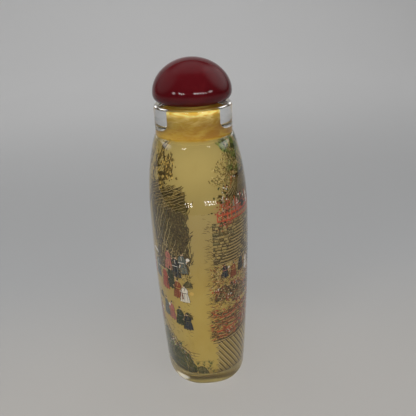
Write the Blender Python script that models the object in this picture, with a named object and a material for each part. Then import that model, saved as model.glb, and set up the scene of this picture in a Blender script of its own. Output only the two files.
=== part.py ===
"""Snuff bottle: a hollow, flattened glass flask with a round neck, closed by a domed cap on a plug.

Metres, +Z up. The wide faces look along Y, the narrow sides along X, and the bottle stands on Z = 0.
"""
import math

import bmesh
import bpy

MM = 0.001

# Driving dimensions of the glass
BODY_WIDTH = 42.0 * MM
BODY_THICKNESS = 26.1 * MM
BODY_HEIGHT = 67.7 * MM
NECK_HEIGHT = 7.8 * MM
NECK_RADIUS = 10.0 * MM
NECK_FILLET = 0.6 * MM
NECK_FILLET_ACROSS = 0.2    # the fillet's share on the wide faces, which run on almost straight
BORE_RADIUS = 4.5 * MM
BORE_FLARE = 2.8 * MM       # how wide and how high the bore opens into the cavity
WALL = 2.5 * MM
FLOOR = 1.8 * MM

# The body is widest and thickest at these shares of its height, and tapers down to its foot
WIDEST_AT = 0.62
THICKEST_AT = 0.70
FOOT_WIDTH_SHARE = 0.86
FOOT_THICKNESS_SHARE = 0.87
WIDTH_ROUNDNESS = 2.3       # above the widest height: how late the shoulder turns in
WIDTH_FULLNESS = 0.53       # and how flat it runs into the neck
THICKNESS_ROUNDNESS = 2.3
THICKNESS_FULLNESS = 0.9
BODY_SQUARENESS = 2.5       # exponent of the plan's superellipse: 2 is an ellipse
ROUND_FROM = 0.75           # share of the height where the plan starts to turn into the round neck
FOOT_EDGE = 1.3 * MM
CAVITY_EDGE = 3.6 * MM
CAVITY_SHOULDER = 12.0 * MM
CAVITY_TOP_DROP = 0.3 * MM
RIM_OUTER_EDGE = 0.8 * MM
RIM_INNER_EDGE = 0.5 * MM

# Driving dimensions of the stopper
GAP = 0.3 * MM
CAP_RADIUS = 10.1 * MM
CAP_HEIGHT = 10.8 * MM
CAP_SEAT_RADIUS = 7.8 * MM
CAP_WIDEST_HEIGHT = 2.4 * MM
CAP_POINTEDNESS = 1.94      # exponent of the dome's section: 2 is half an ellipse
PLUG_LENGTH = 6.0 * MM
PLUG_EDGE = 0.4 * MM

# Mesh density
AROUND = 56
BODY_BANDS = 9
SHOULDER_BANDS = 13
CAVITY_BANDS = 16
EDGE_BANDS = 4
CAP_AROUND = 48
CAP_BANDS = 12

RIM_HEIGHT = BODY_HEIGHT + NECK_HEIGHT
CAVITY_TOP = BODY_HEIGHT - CAVITY_TOP_DROP
PLUG_RADIUS = BORE_RADIUS - GAP


def clear_scene():
    for item in list(bpy.data.objects):
        bpy.data.objects.remove(item, do_unlink=True)


def make_material(name, colour, roughness, metallic=0.0, transmission=0.0):
    material = bpy.data.materials.new(name)
    material.use_nodes = True
    shader = material.node_tree.nodes["Principled BSDF"]
    shader.inputs["Base Color"].default_value = (*colour, 1.0)
    shader.inputs["Roughness"].default_value = roughness
    shader.inputs["Metallic"].default_value = metallic
    shader.inputs["Transmission Weight"].default_value = transmission
    material.diffuse_color = (*colour, 1.0)
    return material


def swell(height, peak, foot_share):
    """Share of the full size below the peak, eased from the foot's share up to 1."""
    ease = math.sin(0.5 * math.pi * min(height / peak, 1.0))
    return foot_share + (1.0 - foot_share) * ease


def fall(height, peak, roundness, fullness):
    """Share that is left above the peak: 1 at the peak, 0 at the neck."""
    rise = max(height - peak, 0.0) / (1.0 - peak)
    return max(1.0 - rise ** roundness, 0.0) ** fullness


def neck_foot_half_sizes(z):
    """The neck's half sizes where its hollow fillet spreads onto the shoulder."""
    rise = min((z - BODY_HEIGHT) / NECK_FILLET, 1.0)
    spread = NECK_FILLET * (1.0 - math.sqrt(1.0 - (1.0 - rise) ** 2))
    return NECK_RADIUS + spread, NECK_RADIUS + NECK_FILLET_ACROSS * spread


def outer_half_sizes(z):
    """Half the body's width and thickness at height z, without its foot's rounded edge."""
    height = min(max(z / BODY_HEIGHT, 0.0), 1.0)
    half_width, half_thickness = 0.5 * BODY_WIDTH, 0.5 * BODY_THICKNESS
    top_width, top_thickness = neck_foot_half_sizes(BODY_HEIGHT)
    if height < WIDEST_AT:
        half_width *= swell(height, WIDEST_AT, FOOT_WIDTH_SHARE)
    else:
        share = fall(height, WIDEST_AT, WIDTH_ROUNDNESS, WIDTH_FULLNESS)
        half_width = top_width + (half_width - top_width) * share
    if height < THICKEST_AT:
        half_thickness *= swell(height, THICKEST_AT, FOOT_THICKNESS_SHARE)
    else:
        share = fall(height, THICKEST_AT, THICKNESS_ROUNDNESS, THICKNESS_FULLNESS)
        half_thickness = top_thickness + (half_thickness - top_thickness) * share
    return half_width, half_thickness


def squareness(z):
    """The plan's exponent, which eases into the neck's circle."""
    share = min(max((z / BODY_HEIGHT - ROUND_FROM) / (1.0 - ROUND_FROM), 0.0), 1.0)
    return BODY_SQUARENESS + (2.0 - BODY_SQUARENESS) * share * share * (3.0 - 2.0 * share)


def cavity_half_sizes(z):
    """Half the cavity's width and thickness at height z, without its floor's rounded edge."""
    half_width, half_thickness = (size - WALL for size in outer_half_sizes(z))
    rise = max(z - (CAVITY_TOP - CAVITY_SHOULDER), 0.0) / CAVITY_SHOULDER
    share = math.sqrt(max(1.0 - rise * rise, 0.0))
    throat = BORE_RADIUS + BORE_FLARE
    return tuple(throat + (size - throat) * share for size in (half_width, half_thickness))


def plan_ring(half_width, half_thickness, exponent, z, count=AROUND):
    """One closed ring of points on a superellipse."""
    ring = []
    for step in range(count):
        angle = 2.0 * math.pi * step / count
        along, across = math.cos(angle), math.sin(angle)
        ring.append((
            math.copysign(half_width * abs(along) ** (2.0 / exponent), along),
            math.copysign(half_thickness * abs(across) ** (2.0 / exponent), across),
            z,
        ))
    return ring


def quarter(steps, first=0):
    """Angles that divide a right angle evenly."""
    return [0.5 * math.pi * step / steps for step in range(first, steps + 1)]


def glass_rings():
    """The glass as rings: up the outside, over the rim, down the bore and the cavity to its floor."""
    rings = []
    for angle in quarter(EDGE_BANDS):
        z = FOOT_EDGE * (1.0 - math.cos(angle))
        inset = FOOT_EDGE * (1.0 - math.sin(angle))
        half_width, half_thickness = outer_half_sizes(z)
        rings.append(plan_ring(half_width - inset, half_thickness - inset, squareness(z), z))
    shoulder_start = WIDEST_AT * BODY_HEIGHT
    for step in range(1, BODY_BANDS + 1):
        z = FOOT_EDGE + (shoulder_start - FOOT_EDGE) * step / BODY_BANDS
        rings.append(plan_ring(*outer_half_sizes(z), squareness(z), z))
    for angle in quarter(SHOULDER_BANDS, first=1):
        z = shoulder_start + (BODY_HEIGHT - shoulder_start) * math.sin(angle)
        rings.append(plan_ring(*outer_half_sizes(z), squareness(z), z))

    for angle in quarter(EDGE_BANDS, first=1):
        z = BODY_HEIGHT + NECK_FILLET * (1.0 - math.cos(angle))
        rings.append(plan_ring(*neck_foot_half_sizes(z), 2.0, z))
    for angle in quarter(EDGE_BANDS):
        radius = NECK_RADIUS - RIM_OUTER_EDGE * (1.0 - math.cos(angle))
        z = RIM_HEIGHT - RIM_OUTER_EDGE * (1.0 - math.sin(angle))
        rings.append(plan_ring(radius, radius, 2.0, z))
    for angle in quarter(EDGE_BANDS):
        radius = BORE_RADIUS + RIM_INNER_EDGE * (1.0 - math.sin(angle))
        z = RIM_HEIGHT - RIM_INNER_EDGE * (1.0 - math.cos(angle))
        rings.append(plan_ring(radius, radius, 2.0, z))

    for angle in quarter(EDGE_BANDS + 1):
        radius = BORE_RADIUS + BORE_FLARE * (1.0 - math.cos(angle))
        z = CAVITY_TOP + BORE_FLARE * (1.0 - math.sin(angle))
        rings.append(plan_ring(radius, radius, 2.0, z))

    cavity_floor_edge = FLOOR + CAVITY_EDGE
    for step in range(1, CAVITY_BANDS + 1):
        share = step / CAVITY_BANDS
        z = cavity_floor_edge + (CAVITY_TOP - cavity_floor_edge) * math.cos(0.5 * math.pi * share)
        rings.append(plan_ring(*cavity_half_sizes(z), squareness(z), z))
    for angle in quarter(EDGE_BANDS, first=1):
        z = cavity_floor_edge - CAVITY_EDGE * math.sin(angle)
        inset = CAVITY_EDGE * (1.0 - math.cos(angle))
        half_width, half_thickness = cavity_half_sizes(z)
        rings.append(plan_ring(half_width - inset, half_thickness - inset, squareness(z), z))
    return rings


def cap_rings():
    """The cap as rings: its seat, the rounded lower edge and the dome, up to just under the top."""
    seat = RIM_HEIGHT + GAP
    rings = []
    for angle in quarter(EDGE_BANDS + 1):
        radius = CAP_SEAT_RADIUS + (CAP_RADIUS - CAP_SEAT_RADIUS) * math.sin(angle)
        z = seat + CAP_WIDEST_HEIGHT * (1.0 - math.cos(angle))
        rings.append(plan_ring(radius, radius, 2.0, z, CAP_AROUND))
    for angle in quarter(CAP_BANDS, first=1)[:-1]:
        radius = CAP_RADIUS * math.cos(angle) ** (2.0 / CAP_POINTEDNESS)
        rise = math.sin(angle) ** (2.0 / CAP_POINTEDNESS)
        z = seat + CAP_WIDEST_HEIGHT + (CAP_HEIGHT - CAP_WIDEST_HEIGHT) * rise
        rings.append(plan_ring(radius, radius, 2.0, z, CAP_AROUND))
    return rings


def plug_rings():
    """The plug as rings, from its lower end to just under the cap."""
    top = RIM_HEIGHT
    bottom = top - PLUG_LENGTH
    outline = [
        (PLUG_RADIUS - PLUG_EDGE, bottom),
        (PLUG_RADIUS, bottom + PLUG_EDGE),
        (PLUG_RADIUS, top - PLUG_EDGE),
        (PLUG_RADIUS - PLUG_EDGE, top),
    ]
    return [plan_ring(radius, radius, 2.0, z, CAP_AROUND) for radius, z in outline]


def make_solid(name, rings, material, flat_bands=(), tip=None):
    """Skin a stack of rings, close both ends, and link the solid as a named object."""
    mesh = bmesh.new()
    loops = [[mesh.verts.new(point) for point in ring] for ring in rings]
    for band, (lower, upper) in enumerate(zip(loops, loops[1:])):
        for step, vert in enumerate(lower):
            beside = (step + 1) % len(lower)
            face = mesh.faces.new((vert, lower[beside], upper[beside], upper[step]))
            face.smooth = band not in flat_bands
    mesh.faces.new(list(reversed(loops[0])))
    if tip is None:
        mesh.faces.new(loops[-1])
    else:
        point = mesh.verts.new(tip)
        for step, vert in enumerate(loops[-1]):
            mesh.faces.new((vert, loops[-1][(step + 1) % len(loops[-1])], point)).smooth = True
    bmesh.ops.recalc_face_normals(mesh, faces=mesh.faces)

    data = bpy.data.meshes.new(name)
    mesh.to_mesh(data)
    mesh.free()
    data.materials.append(material)
    item = bpy.data.objects.new(name, data)
    bpy.context.scene.collection.objects.link(item)
    return item


def main():
    clear_scene()
    glass = make_material("clear_glass", (0.93, 0.95, 0.95), 0.02, transmission=1.0)
    oxblood = make_material("oxblood_gloss", (0.105, 0.007, 0.012), 0.08)
    cork = make_material("cork", (0.45, 0.28, 0.12), 0.85)

    make_solid("glass_bottle", glass_rings(), glass)
    top = (0.0, 0.0, RIM_HEIGHT + GAP + CAP_HEIGHT)
    make_solid("stopper_cap", cap_rings(), oxblood, tip=top)
    make_solid("stopper_plug", plug_rings(), cork, flat_bands=(0, 2))


main()
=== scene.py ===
import math
import random

import bmesh
import bpy
import numpy
from mathutils import Matrix, Vector


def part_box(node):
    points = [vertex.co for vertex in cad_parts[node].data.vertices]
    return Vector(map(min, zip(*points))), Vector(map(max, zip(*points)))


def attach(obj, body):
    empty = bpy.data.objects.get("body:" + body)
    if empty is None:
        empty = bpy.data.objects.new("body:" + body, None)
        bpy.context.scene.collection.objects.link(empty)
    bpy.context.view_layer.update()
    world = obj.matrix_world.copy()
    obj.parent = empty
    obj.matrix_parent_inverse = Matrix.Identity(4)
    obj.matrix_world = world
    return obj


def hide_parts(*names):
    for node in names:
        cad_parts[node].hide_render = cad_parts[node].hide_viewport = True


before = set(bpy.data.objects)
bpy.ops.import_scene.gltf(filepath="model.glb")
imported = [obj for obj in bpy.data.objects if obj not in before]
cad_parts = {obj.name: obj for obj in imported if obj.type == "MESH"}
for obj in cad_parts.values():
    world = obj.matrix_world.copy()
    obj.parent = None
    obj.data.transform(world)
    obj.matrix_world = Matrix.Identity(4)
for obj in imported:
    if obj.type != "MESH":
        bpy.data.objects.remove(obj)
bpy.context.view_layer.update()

mm = 0.001


class Wire:  # a shader socket that takes part in Python expressions
    def __init__(self, tree, socket):
        self.tree = tree
        self.socket = socket

    @classmethod
    def make(cls, tree, kind, settings, inputs, output=0):
        node = tree.nodes.new(kind)
        for name, value in settings.items():
            setattr(node, name, value)
        for name, value in inputs.items():
            feed(node.inputs[name], value)
        return cls(tree, node.outputs[output])

    def maths(self, operation, first, second=0.0):
        return Wire.make(self.tree, "ShaderNodeMath", {"operation": operation}, {0: first, 1: second})

    def __add__(self, other):
        return self.maths("ADD", self, other)

    def __radd__(self, other):
        return self.maths("ADD", other, self)

    def __sub__(self, other):
        return self.maths("SUBTRACT", self, other)

    def __rsub__(self, other):
        return self.maths("SUBTRACT", other, self)

    def __mul__(self, other):
        return self.maths("MULTIPLY", self, other)

    def __rmul__(self, other):
        return self.maths("MULTIPLY", other, self)

    def ramp(self, low, high):  # 0 at low, 1 at high, smooth between; low may be the larger
        return Wire.make(self.tree, "ShaderNodeMapRange", {"interpolation_type": "SMOOTHSTEP"},
                         {"Value": self, "From Min": low, "From Max": high})

    def part(self, axis):
        return Wire.make(self.tree, "ShaderNodeSeparateXYZ", {}, {"Vector": self}, axis)

    def stretch(self, scale, rotation=(0.0, 0.0, 0.0)):
        return Wire.make(self.tree, "ShaderNodeMapping", {}, {
            "Vector": self, "Scale": scale, "Rotation": rotation})


def feed(socket, value):
    if isinstance(value, Wire):
        value.tree.links.new(value.socket, socket)
    elif socket.type == "RGBA":
        socket.default_value = (*value, 1.0)
    else:
        socket.default_value = value


def feedShader(shader, **values):
    for socket, value in values.items():
        feed(shader.inputs[socket.replace("_", " ")], value)


def mixColour(share, first, second):
    return Wire.make(share.tree, "ShaderNodeMix", {"data_type": "RGBA"}, {0: share, 6: first, 7: second}, 2)


def newMaterial(name, **values):  # the values go straight to the shader's own sockets
    material = bpy.data.materials.new(name)
    material.use_nodes = True
    shader = material.node_tree.nodes["Principled BSDF"]
    feedShader(shader, **values)
    return material, shader, Wire.make(material.node_tree, "ShaderNodeTexCoord", {}, {}, "Object")


def noise(place, scale, detail=3.0, roughness=0.5, distortion=0.0):
    return Wire.make(place.tree, "ShaderNodeTexNoise", {}, {
        "Vector": place, "Scale": scale, "Detail": detail, "Roughness": roughness, "Distortion": distortion})


def smoothItem(name, mesh, material):
    for face in mesh.faces:
        face.smooth = True
    data = bpy.data.meshes.new(name)
    mesh.to_mesh(data)
    mesh.free()
    data.materials.append(material)
    return linkItem(name, data)


def linkItem(name, data):
    item = bpy.data.objects.new(name, data)
    bpy.context.scene.collection.objects.link(item)
    return item


def finishPiece(piece):
    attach(piece, "root")
    print(piece.name + ":", len(piece.data.polygons), "faces")


# the glass

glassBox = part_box("glass_bottle")
glass = {
    "width": glassBox[1][0] - glassBox[0][0],
    "thickness": glassBox[1][1] - glassBox[0][1],
    "rim": glassBox[1][2],
    "neck": 7.8 * mm,
    "neckRadius": 10.0 * mm,
    "neckFillet": 0.6 * mm,
    "filletAcross": 0.2,  # the fillet's share on the wide faces
    "bore": 4.5 * mm,
    "boreFlare": 2.8 * mm,
    "wall": 2.5 * mm,
    "floor": 1.8 * mm,
    "widestAt": 0.62,
    "thickestAt": 0.70,
    # the foot's share of the width, how late the shoulder turns in, how flat it meets the neck
    "widthCurve": (0.86, 2.3, 0.53),
    "thicknessCurve": (0.87, 2.3, 0.9),
    "squareness": 2.5,
    "roundFrom": 0.75,
    "footEdge": 1.3 * mm,
    "cavityEdge": 3.6 * mm,
    "cavityShoulder": 12.0 * mm,
    "cavityDrop": 0.3 * mm,
    "rimEdge": 0.8 * mm,
    "mouthEdge": 0.5 * mm,
    "steps": 240,
    "tint": (0.985, 0.99, 0.985),
    "index": 1.5,
    "smears": 0.012,
    "rimIndex": 5.5,  # the rim gleams more, from this far below it to this far below it
    "rimGleam": (0.75 * mm, 0.35 * mm),
}
bodyTop = glass["rim"] - glass["neck"]
cavityTop = bodyTop - glass["cavityDrop"]


def roundedInset(distance, edge):  # how far a rounded edge pulls in, at this distance from its end
    if distance >= edge:
        return 0.0
    return edge * (1.0 - math.sqrt(max(1.0 - (1.0 - distance / edge) ** 2, 0.0)))


def bodyHalfSizes(z):
    share = min(max(z / bodyTop, 0.0), 1.0)
    sizes = []
    for size, across, curve, peak in ((glass["width"], 1.0, glass["widthCurve"], glass["widestAt"]),
                                      (glass["thickness"], glass["filletAcross"], glass["thicknessCurve"],
                                       glass["thickestAt"])):
        foot, roundness, fullness = curve
        half = 0.5 * size
        top = glass["neckRadius"] + across * glass["neckFillet"]
        if share < peak:
            sizes.append(half * (foot + (1.0 - foot) * math.sin(0.5 * math.pi * share / peak)))
        else:
            fall = max(1.0 - ((share - peak) / (1.0 - peak)) ** roundness, 0.0) ** fullness
            sizes.append(top + (half - top) * fall)
    return sizes


def squareness(z):
    share = min(max((z / bodyTop - glass["roundFrom"]) / (1.0 - glass["roundFrom"]), 0.0), 1.0)
    return glass["squareness"] + (2.0 - glass["squareness"]) * share * share * (3.0 - 2.0 * share)


def outside(z):  # half width, half thickness and squareness of the outer surface
    if z < bodyTop:
        inset = roundedInset(z, glass["footEdge"])
        width, thickness = bodyHalfSizes(z)
        return width - inset, thickness - inset, squareness(z)
    spread = roundedInset(z - bodyTop, glass["neckFillet"])
    radius = glass["neckRadius"] - roundedInset(glass["rim"] - z, glass["rimEdge"])
    return radius + spread, radius + glass["filletAcross"] * spread, 2.0


def inside(z):  # the same for the cavity and the bore
    if z > cavityTop:
        radius = glass["bore"] + roundedInset(z - cavityTop, glass["boreFlare"])
        radius += roundedInset(glass["rim"] - z, glass["mouthEdge"])
        return radius, radius, 2.0
    rise = max(z - (cavityTop - glass["cavityShoulder"]), 0.0) / glass["cavityShoulder"]
    share = math.sqrt(max(1.0 - rise * rise, 0.0))
    inset = roundedInset(z - glass["floor"], glass["cavityEdge"])
    throat = glass["bore"] + glass["boreFlare"]
    width, thickness = (throat + (size - glass["wall"] - throat) * share - inset for size in bodyHalfSizes(z))
    return width, thickness, squareness(z)


def wallPoint(sizes, angle, lift=0.0):  # on the plan at this angle, moved outwards by lift
    width, thickness, power = sizes
    along, across = math.cos(angle), math.sin(angle)
    return ((width + lift) * math.copysign(abs(along) ** (2.0 / power), along),
            (thickness + lift) * math.copysign(abs(across) ** (2.0 / power), across))


easings = {
    "low": lambda share: 1.0 - math.cos(0.5 * math.pi * share),
    "high": lambda share: math.sin(0.5 * math.pi * share),
    "even": lambda share: share,
}


def climb(start, *flights):  # heights, by flights of (top, steps, the end where they lie closer together)
    heights = [start]
    for top, count, end in flights:
        low = heights[-1]
        heights += [low + (top - low) * easings[end](step / count) for step in range(1, count + 1)]
    return heights


outerHeights = climb(
    0.0, (glass["footEdge"], 8, "low"), (glass["widestAt"] * bodyTop, 30, "even"), (bodyTop, 44, "high"),
    (bodyTop + glass["neckFillet"], 6, "low"),
    (glass["rim"] - glass["rimEdge"], 4, "even"), (glass["rim"], 8, "high"))
innerHeights = climb(
    glass["floor"], (glass["floor"] + glass["cavityEdge"], 8, "low"),
    (cavityTop - glass["cavityShoulder"], 40, "even"), (cavityTop, 26, "high"),
    (cavityTop + glass["boreFlare"], 10, "low"),
    (glass["rim"] - glass["mouthEdge"], 4, "even"), (glass["rim"], 5, "high"))


def spinOutline(outline, steps):  # a closed skin from an outline of (radius, height) points
    mesh = bmesh.new()
    points = [mesh.verts.new((radius, 0.0, height)) for radius, height in outline]
    edges = [mesh.edges.new(pair) for pair in zip(points, points[1:])]
    bmesh.ops.spin(mesh, geom=points + edges, cent=(0, 0, 0), axis=(0, 0, 1), angle=2.0 * math.pi,
                   steps=steps, use_merge=True, use_duplicate=False)
    bmesh.ops.remove_doubles(mesh, verts=mesh.verts, dist=1e-7)
    bmesh.ops.recalc_face_normals(mesh, faces=mesh.faces)
    return mesh


def makeGlassMaterial():
    material, shader, place = newMaterial("polishedGlass", Base_Color=glass["tint"], IOR=glass["index"],
                                          Transmission_Weight=1.0, Coat_IOR=glass["rimIndex"])
    low, high = (glass["rim"] - below for below in glass["rimGleam"])
    smears = noise(place, 90.0, 4.0).ramp(0.52, 0.78)
    feedShader(shader, Coat_Weight=place.part("Z").ramp(low, high), Roughness=smears * glass["smears"])
    return material


def makeBottle():  # the outside and the cavity are spun on two radii, then each takes its plan
    skins = {2.0: outside, 1.0: inside}
    outline = [(0.0, 0.0)] + [(2.0, z) for z in outerHeights]
    outline += [(1.0, z) for z in reversed(innerHeights)] + [(0.0, glass["floor"])]
    mesh = spinOutline(outline, glass["steps"])
    for vert in mesh.verts:
        radius = math.hypot(vert.co.x, vert.co.y)
        if radius > 0.5:
            skin = skins[round(radius)]
            vert.co.x, vert.co.y = wallPoint(skin(vert.co.z), math.atan2(vert.co.y, vert.co.x))
    piece = smoothItem("bottleGlass", mesh, makeGlassMaterial())
    piece.visible_shadow = False  # clear glass lets the lamps through to the painting
    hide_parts("glass_bottle")
    finishPiece(piece)


# the ochre ground on the cavity's wall

ground = {
    "lift": 0.03 * mm,  # the coat wets the glass, so it lies a hair inside the wall
    "coat": 0.08 * mm,
    "seam": 0.002 * mm,  # between the coat's two poles on the floor
    "top": 0.9 * mm,  # bare glass below the rim
    "steps": 240,
    "ochre": (0.530, 0.367, 0.080),
    "pale": (0.580, 0.423, 0.115),
    "deep": (0.377, 0.235, 0.040),
    # dim is painted shade and shoulder is painted light, laid on by height in the bands below
    "dim": (0.285, 0.215, 0.100),
    "shoulder": (0.423, 0.336, 0.115),
    "collar": (0.58, 0.37, 0.048),
    # the pale tone of painted highlights on the neck and on the foot
    "paleHighlight": (0.86, 0.70, 0.25),
    "collarDeep": (0.46, 0.225, 0.020),
    "cream": (0.82, 0.72, 0.42),
    "olive": (0.17, 0.125, 0.045),
    "white": (0.93, 0.90, 0.76),
    "unlit": (0.0, 0.0, 0.0),
    # painted shade and painted light by height: a darker band through the middle and a paler band on the
    # shoulder, each from, to and strength
    "paintedLightBands": (("dim", 24.0 * mm, 50.0 * mm, 0.55), ("shoulder", 48.0 * mm, 58.0 * mm, 0.5)),
    # painted light and shade on the floor's underside, seen through the foot: cream and pale streaks with a
    # dark olive one
    "floorLightAndShade": (("cream", 5.0 * mm, 3.5 * mm, 0.5), ("olive", 5.0 * mm, 6.0 * mm, 0.75),
                     ("paleHighlight", 7.0 * mm, 8.2 * mm, 0.95)),
    "floorCover": (1.3 * mm, 0.1 * mm),  # above the floor, where the streaks fade out and where they are full
    "gleamAt": (6.2 * mm, -3.4 * mm),  # where a painted highlight glows white, at the corner of the foot
    "gleam": 0.5,
    "collarFade": 1.5 * mm,  # from both ends of the neck
    "neckEdge": (-1.9 * mm, -0.3 * mm),  # the collar's ragged lower edge, from the top of the body
    "ragged": 1.6 * mm,
}


def makeGroundMaterial():
    material, shader, place = newMaterial("ochreGround", Specular_IOR_Level=0.05, Emission_Strength=1.0)
    along, aside, height = (place.part(axis) for axis in "XYZ")
    clouds = noise(place, 55.0, 3.0, 0.55, 0.6)
    upright = place.stretch((1.0, 1.0, 0.22))
    streaks = noise(upright, 420.0, 4.0, 0.6, 0.3)
    colour = mixColour(clouds.ramp(0.35, 0.7), ground["ochre"], ground["pale"])
    colour = mixColour(streaks.ramp(0.5, 0.85) * 0.45, colour, ground["deep"])
    # painted shade through the middle heights and painted light on the shoulder
    for tone, start, full, strength in ground["paintedLightBands"]:
        colour = mixColour(height.ramp(start, full) * strength, colour, ground[tone])

    slanted = place.stretch((1.0, 1.0, 2.6), (0.30, 0.0, 0.0))
    high = height.ramp(bodyTop + ground["collarFade"], glass["rim"] - ground["collarFade"])
    # darker orange-brown mottle, stronger lower on the neck and towards +Y
    deepMottle = noise(slanted, 260.0, 4.0, 0.6, 0.5).ramp(0.36, 0.60) * (1.0 - high)
    deepMottle = deepMottle * (aside.ramp(-4.0 * mm, 4.0 * mm) * 0.6 + 0.4)
    deepMottle = deepMottle + noise(slanted, 480.0, 4.0, 0.6, 0.4).ramp(0.48, 0.72) * (0.55 - high * 0.35)
    swirl = noise(slanted, 230.0, 4.0, 0.62, 0.7).ramp(0.44, 0.64)
    collar = mixColour(deepMottle, ground["collar"], ground["collarDeep"])
    # painted highlight: pale cream swirls, strongest near the top of the neck
    collar = mixColour(swirl * (high * 0.80 + 0.08), collar, ground["paleHighlight"])

    low = height.ramp(*(glass["floor"] + above for above in ground["floorCover"]))
    streakSway = noise(place.stretch((3.0, 0.5, 0.6)), 190.0, 3.0, 0.6, 0.8)  # sways the edges of the painted floor streaks
    apart = along.maths("ABSOLUTE", along) + (streakSway - 0.5) * (3.0 * mm)
    # painted light and shade on the floor's underside
    for tone, start, full, strength in ground["floorLightAndShade"]:
        colour = mixColour(low * apart.ramp(start, full) * strength, colour, ground[tone])
    # painted highlight: a white glowing spot on the floor's underside at the foot's corner
    far, side = (apart - ground["gleamAt"][0]) * (1.0 / mm), (aside - ground["gleamAt"][1]) * (1.0 / mm)
    gleam = low * (side * side * 1.6 + far * far * 0.4).ramp(1.2, 0.2)

    ragged = (noise(upright, 700.0, 3.0, 0.6, 0.5) - 0.5) * ground["ragged"]
    neck = (height + ragged).ramp(*(bodyTop + edge for edge in ground["neckEdge"]))
    # painted glow: the coat in the neck emits light, most near the rim
    paintedNeckGlow = neck * (high * high * 0.45 + high.ramp(0.8, 1.0) * 0.5 + 0.01)
    glow = mixColour(paintedNeckGlow, ground["unlit"], collar)
    glow = mixColour(gleam * ground["gleam"], glow, ground["white"])
    feedShader(shader, Base_Color=mixColour(neck, colour, collar), Emission_Color=glow,
               Roughness=clouds * 0.2 + 0.45)
    return material


def makeGround():
    top, floor = glass["rim"] - ground["top"], glass["floor"]
    heights = [z for z in innerHeights if z < top] + [top]
    outline = [(0.0, floor)] + [(2.0, z) for z in heights]
    outline += [(1.0, z) for z in reversed(heights)] + [(0.0, floor + ground["seam"])]
    mesh = spinOutline(outline, ground["steps"])
    lifts = {2: ground["lift"], 1: ground["lift"] - ground["coat"]}
    for vert in mesh.verts:
        radius = math.hypot(vert.co.x, vert.co.y)
        lower = vert.co.z < floor + 0.5 * ground["seam"]
        lift = lifts[round(radius) if radius > 0.5 else (2 if lower else 1)]
        steep = max(0.0, 1.0 - (vert.co.z - floor) / glass["cavityEdge"])
        if radius > 0.5:
            vert.co.x, vert.co.y = wallPoint(inside(vert.co.z), math.atan2(vert.co.y, vert.co.x), lift)
        vert.co.z -= lift * min(steep, 1.0)
    piece = smoothItem("paintedGround", mesh, makeGroundMaterial())
    piece.visible_shadow = False  # the table under the clear foot stays light
    finishPiece(piece)


# the painting: strokes laid on a flat canvas, in millimetres, then wrapped on the cavity's wall

canvas = {
    "round": 96.0,  # the way round the wall, counted as this much at every height
    "lift": 0.07 * mm,
    "layer": 0.012 * mm,  # each layer of paint lies this much over the one before
    "longest": 0.8,  # longer edges would cut through the curved wall
    "unevenness": 0.16,
    "heights": 140,  # how finely the wall's shape is tabled
    "shares": 97,
    "angles": 600,
}

pigment = {
    "ink": (0.016, 0.014, 0.009),
    "umber": (0.062, 0.043, 0.017),
    "brown": (0.125, 0.080, 0.024),
    "bark": (0.090, 0.058, 0.024),
    "olive": (0.150, 0.130, 0.048),
    "moss": (0.070, 0.082, 0.027),
    "pine": (0.020, 0.034, 0.015),
    "leaf": (0.150, 0.200, 0.042),
    "spring": (0.270, 0.330, 0.080),
    "coral": (0.520, 0.076, 0.032),
    "brick": (0.290, 0.068, 0.028),
    "rose": (0.500, 0.165, 0.125),
    "navy": (0.013, 0.019, 0.032),
    "slate": (0.105, 0.125, 0.115),
    "white": (0.820, 0.760, 0.640),
    "skin": (0.640, 0.430, 0.260),
    "gold": (0.600, 0.400, 0.100),
    "shade": (0.280, 0.190, 0.055),
    "cream": (0.560, 0.430, 0.190),
}


def makeWallTable():  # for each height, the angle at which each share of a quarter's way is reached
    heights = numpy.linspace(glass["floor"], cavityTop, canvas["heights"])
    shares = numpy.linspace(0.0, 1.0, canvas["shares"])
    angles = numpy.linspace(0.0, 0.5 * math.pi, canvas["angles"])
    sizes = numpy.array([inside(z) for z in heights])
    rows = []
    for width, thickness, power in sizes:
        x = width * numpy.sin(angles) ** (2.0 / power)
        y = thickness * numpy.cos(angles) ** (2.0 / power)
        way = numpy.concatenate(([0.0], numpy.cumsum(numpy.hypot(numpy.diff(x), numpy.diff(y)))))
        rows.append(numpy.interp(shares, way / way[-1], angles))
    return heights, sizes, numpy.array(rows)


wallTable = makeWallTable()


def wrapOnWall(points):  # rows of (way round, height, layer) to places on the wall
    heights, sizes, rows = wallTable
    way, z, layer = points.T
    z = numpy.clip(z * mm, heights[0], heights[-1])
    # quarters of the way round, from -Y to +X
    quarters = numpy.mod(0.5 * canvas["round"] - way, canvas["round"]) * 4.0 / canvas["round"]
    share = 1.0 - abs(numpy.mod(quarters, 2.0) - 1.0)
    rowPlace = (z - heights[0]) / (heights[1] - heights[0])
    low = numpy.clip(rowPlace.astype(int), 0, len(heights) - 2)
    blend = rowPlace - low
    columnPlace = share * (rows.shape[1] - 1)
    left = numpy.clip(columnPlace.astype(int), 0, rows.shape[1] - 2)
    slide = columnPlace - left
    lower, upper = (rows[row, left] * (1.0 - slide) + rows[row, left + 1] * slide for row in (low, low + 1))
    angle = lower * (1.0 - blend) + upper * blend
    width, thickness, power = (sizes[low] * (1.0 - blend)[:, None] + sizes[low + 1] * blend[:, None]).T
    lift = canvas["lift"] + layer * canvas["layer"]
    x = (width + lift) * numpy.sin(angle) ** (2.0 / power)
    y = (thickness + lift) * numpy.maximum(numpy.cos(angle), 0.0) ** (2.0 / power)
    x = numpy.where(quarters > 2.0, -x, x)
    y = numpy.where(abs(quarters - 2.0) > 1.0, -y, y)
    return numpy.stack((x, y, z), axis=1)


stamps = {}


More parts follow.
